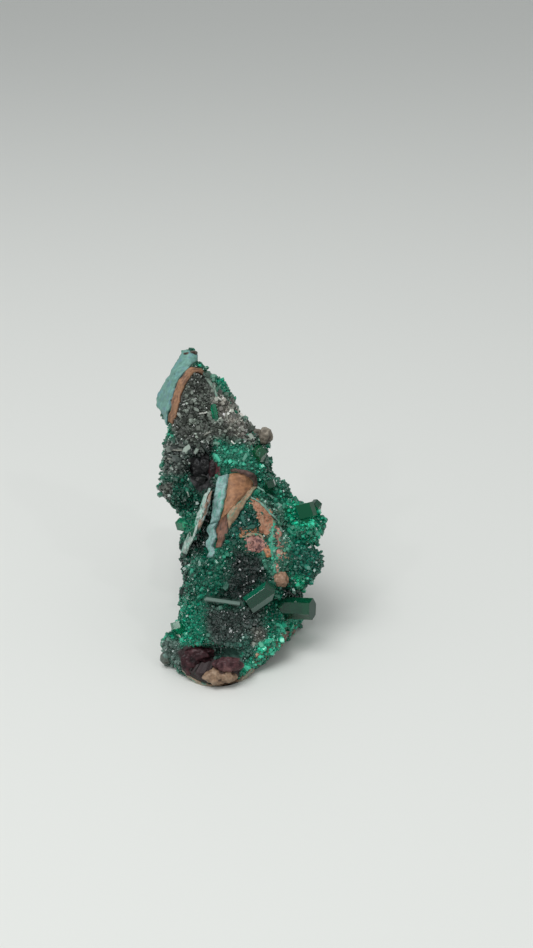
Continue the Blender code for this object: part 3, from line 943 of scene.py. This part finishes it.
def rhomb_shape():
    """A rhombohedron one wide: a top corner, a ring low under each end face and high between
    them, and a bottom corner, with three four-sided faces round each end corner."""
    upper = np.column_stack([hexagon, 0.75 - rim_drop])
    corners = np.vstack([[(0.0, 0.0, 0.75)], upper, [(0.0, 0.0, 0.75 - 1.5 * TIP_DROP)]])
    ends = [(0, 1 + (k - 1) % 6, 1 + k, 1 + (k + 1) % 6) for k in (0, 2, 4)]
    lower = [(7, 1 + (k + 1) % 6, 1 + k, 1 + (k - 1) % 6) for k in (1, 3, 5)]
    return corners, np.array(ends + lower)


def prism_shape():
    """A short prism one wide: the same ends above, six sides, and a level foot in the rock."""
    upper = np.column_stack([hexagon, 1.1 - rim_drop])
    base = np.column_stack([hexagon, np.full(6, -0.6)])
    corners = np.vstack([[(0.0, 0.0, 1.1)], upper, base])
    ends = [(0, 1 + (k - 1) % 6, 1 + k, 1 + (k + 1) % 6) for k in (0, 2, 4)]
    sides = [(1 + k, 7 + k, 7 + (k + 1) % 6, 1 + (k + 1) % 6) for k in range(6)]
    return corners, np.array(ends + sides + [(7, 10, 9, 8), (7, 12, 11, 10)])


def turned_to(ways, roll):
    """For each way, three axes at right angles of which the last is the way itself, rolled."""
    guide = np.where(np.abs(ways[:, 2:3]) < 0.9, [[0.0, 0.0, 1.0]], [[1.0, 0.0, 0.0]])
    first = unit(np.cross(guide, ways))
    second = np.cross(ways, first)
    c, s = np.cos(roll)[:, None], np.sin(roll)[:, None]
    return np.stack([c * first + s * second, c * second - s * first, ways], axis=1)


druse_material = mineral_material("dioptase druse", 0.19, 1.0, 0.0, ior=DIOPTASE_IOR, transmission=0.3)

# It also coats the outer prisms of both clusters
coated_prisms = CRYSTALS["right_cluster"][1:] + CRYSTALS["left_cluster"][1:]
coated_grids = [prism_grid(*prism) for prism in coated_prisms]
coated_quads = [grid[tube_faces(CRYSTAL_RINGS + 3, 12)] for grid in coated_grids]
quad_corners = np.concatenate([rock_points[rock_quads], *coated_quads])
quad_cross = np.cross(quad_corners[:, 2] - quad_corners[:, 0], quad_corners[:, 3] - quad_corners[:, 1])
quad_area = 0.5 * np.linalg.norm(quad_cross, axis=1)
quad_normals = unit(quad_cross)
quad_centres = quad_corners.mean(axis=1)
quad_pixels, _ = in_picture(quad_centres)
quad_facing = (unit(CAMERA_PLACE - quad_centres) * quad_normals).sum(1)
quad_in_view = ease(quad_facing, 0.0, 0.15)
on_rock = np.arange(len(quad_centres)) < len(rock_quads)


def quads_in(outlines, low, high):
    """How far each quad lies in any of the outlines: 0 at low and 1 at high, in pixels."""
    return np.max([ease(inside(quad_pixels, outline), low, high) for outline in outlines], axis=0)


bare = quads_in([crust_outline(name) for name in BARE_CRUSTS], -1.2, 0.2)
bare = np.maximum(bare, quads_in([outline for outline, _ in BARE_PATCHES.values()], -1.0, 1.0))
bare = np.maximum(bare, quads_in(CLEAR_OF_DRUSE, -1.0, 0.5))
for pixel, _, half_sizes, _ in KNOBS.values():
    away = (quad_pixels - pixel) / (PIXELS_TO_MM * np.array(half_sizes[:2]))
    bare = np.maximum(bare, ease(1.1 - np.linalg.norm(away, axis=1), 0.0, 0.3))
bare *= ease(quad_facing, -0.15, 0.05)
bare = np.maximum(bare, to_ellipsoid(quad_centres, *DENTS[0]) < HOLLOW_EDGE)
cover = (1 - bare) * (quad_in_view + (1 - quad_in_view) * coated(quad_centres))
cover *= ease(quad_centres[:, 2], 0.1, 0.5)
cover = np.where(on_rock, cover, (1 - bare) * (from_rock(quad_centres) > -0.2))


def grow(name, share, density, width, spread, stretch, askew, shape, tone, mottle,
         colours_of=druse_colours, material=druse_material, slot="druse"):
    """Crystals strewn over the rock, density to a square millimetre times the share of each quad,
    in meshes of less than DRUSE_LIMIT triangles. Widths are width exp(spread n), the way each
    stands is its rock normal plus askew n and its colour, turned by tone, is multiplied by
    exp(mottle n), with n normal noise."""
    counts = random.poisson(quad_area * density * share)
    chosen = np.repeat(np.arange(len(counts)), counts)
    a, b = random.random((2, len(chosen), 1))
    corner = quad_corners[chosen]
    near, far = (1 - a) * corner[:, 0] + a * corner[:, 1], (1 - a) * corner[:, 3] + a * corner[:, 2]
    places = (1 - b) * near + b * far
    pixels, _ = in_picture(places)
    colours = colours_of(places, pixels, quad_facing[chosen])
    shade = random.normal(0, mottle, len(places)) + 0.5 * rough_noise(places, 1.4, 2, 33)
    colours = np.clip(tone(colours) * np.exp(shade)[:, None], 0, 0.9)
    widths = width * np.exp(random.normal(0, spread, len(places)))
    tall = random.uniform(*stretch, len(places))
    ways = unit(quad_normals[chosen] + random.normal(0, askew, places.shape))
    axes = turned_to(ways, random.uniform(0, 2 * pi, len(places)))
    corners, faces = shape
    local = corners[None] * widths[:, None, None]
    local[:, :, 2] *= tall[:, None]
    points = places[:, None] + np.einsum("nij,njk->nik", local, axes)
    points[:, :, 2] = np.maximum(points[:, :, 2], 0.01)
    triangles = len(faces) * (faces.shape[1] - 2)
    groups = np.array_split(np.arange(len(places)), len(places) * triangles // DRUSE_LIMIT + 1)
    for number, group in enumerate(groups, start=1):
        joined = faces[None] + (np.arange(len(group)) * len(corners))[:, None, None]
        paints = np.repeat(colours[group], len(corners), axis=0)
        joined = joined.reshape(-1, faces.shape[1])
        piece = new_piece(f"{name}_{number}", points[group].reshape(-1, 3), joined, material, paints)


def own(colours):
    return colours


def lighter(colours):
    return 1.25 * colours + 0.01


def glinting(colours):
    return 0.7 * colours + paint(96, 104, 97)


def crumb_colours(points, pixels, facing):
    """The colour of the ragged crust that a point lies in or close to, in streaks by noise."""
    colours = np.tile(TAN, (len(points), 1))
    streaks = ease(rough_noise(points, 0.6, 2, 57), 0.0, 0.3)
    for name in RAGGED:
        _, middle, streak = CRUSTS[name][3]
        mixed = blend_in(np.tile(middle, (len(points), 1)), streak, streaks)
        colours = blend_in(colours, mixed, ease(inside(pixels, crust_outline(name)), -2.5, -0.5))
    return colours


GREY_OUTLINES = [
    [(170, 384), (190, 366), (212, 378), (242, 414), (262, 434), (254, 452), (222, 440), (196, 452)],
    [(160, 440), (184, 440), (192, 460), (184, 480), (160, 480)],
]
BRIGHT_OUTLINE = [(286, 494), (312, 492), (328, 512), (322, 534), (296, 536)]
grey_zone = quads_in(GREY_OUTLINES, -2, 2) * quad_in_view
bright_zone = quads_in([BRIGHT_OUTLINE], -2, 2)
crumb_zone = quads_in([crust_outline(name) for name in RAGGED], -2.2, 0.2) * (quad_in_view * on_rock)
large_share = cover * (1 - grey_zone) * (0.12 + 0.9 * bright_zone)
# Each kind's name, share of the rock, number to a square millimetre, width, spread, stretch,
# askewness, shape, tone and mottle
DRUSE_KINDS = [
    ("druse_fine", cover, 32.0, 0.24, 0.25, (0.9, 1.5), 0.35, tip_shape(), own, 0.33),
    ("druse_middle", cover, 8.0, 0.30, 0.25, (0.9, 1.4), 0.35, rhomb_shape(), own, 0.33),
    ("druse_coarse", cover, 0.7, 0.46, 0.25, (0.9, 1.5), 0.4, prism_shape(), lighter, 0.33),
    ("druse_large", large_share, 1.0, 0.6, 0.25, (0.8, 1.2), 0.4, rhomb_shape(), lighter, 0.33),
    ("druse_grey", cover * grey_zone, 2.4, 0.34, 0.35, (0.8, 1.8), 0.7, prism_shape(), glinting, 0.65),
    ("druse_shards", cover * grey_zone, 0.8, 0.18, 0.3, (2.0, 4.5), 1.0, prism_shape(), glinting, 0.5),
]
for kind in DRUSE_KINDS:
    grow(*kind)
grow("crumbs", crumb_zone, 13.0, 0.26, 0.35, (0.6, 1.1), 0.5, rhomb_shape(), own, 0.22, crumb_colours,
     crust_material, "crust")


# A plain pale floor and soft light from above, with the world as a dim fill.
FLOOR_SIDE = 12.0
bpy.ops.mesh.primitive_plane_add(size=FLOOR_SIDE)
floor = bpy.context.object
floor.data.materials.append(plain_material("pale floor", (0.73, 0.745, 0.72), 0.5))

world = bpy.data.worlds.new("studio")
bpy.context.scene.world = world
world.use_nodes = True
world.node_tree.nodes["Background"].inputs["Color"].default_value = (0.8, 0.82, 0.82, 1)
world.node_tree.nodes["Background"].inputs["Strength"].default_value = 0.6
SOFTBOX_TURN = (radians(20), radians(-20), 0)
SMALL_LAMP_PLACES = ((-0.25, -0.35, 0.3), (0.3, -0.3, 0.35), (0.05, -0.15, 0.5))


def area_light(name, side, watts, place, turn):
    data = bpy.data.lights.new(name, "AREA")
    data.size, data.energy = side, watts
    light = bpy.data.objects.new(name, data)
    light.location, light.rotation_euler = place, turn
    bpy.context.scene.collection.objects.link(light)


area_light("softbox", 0.4, 2.5, (-0.2, -0.2, 0.6), SOFTBOX_TURN)
for place in SMALL_LAMP_PLACES:
    area_light("small_lamp", 0.025, 0.12, place, Vector(place).to_track_quat("Z", "Y").to_euler())
bpy.context.scene.view_settings.view_transform = "Standard"
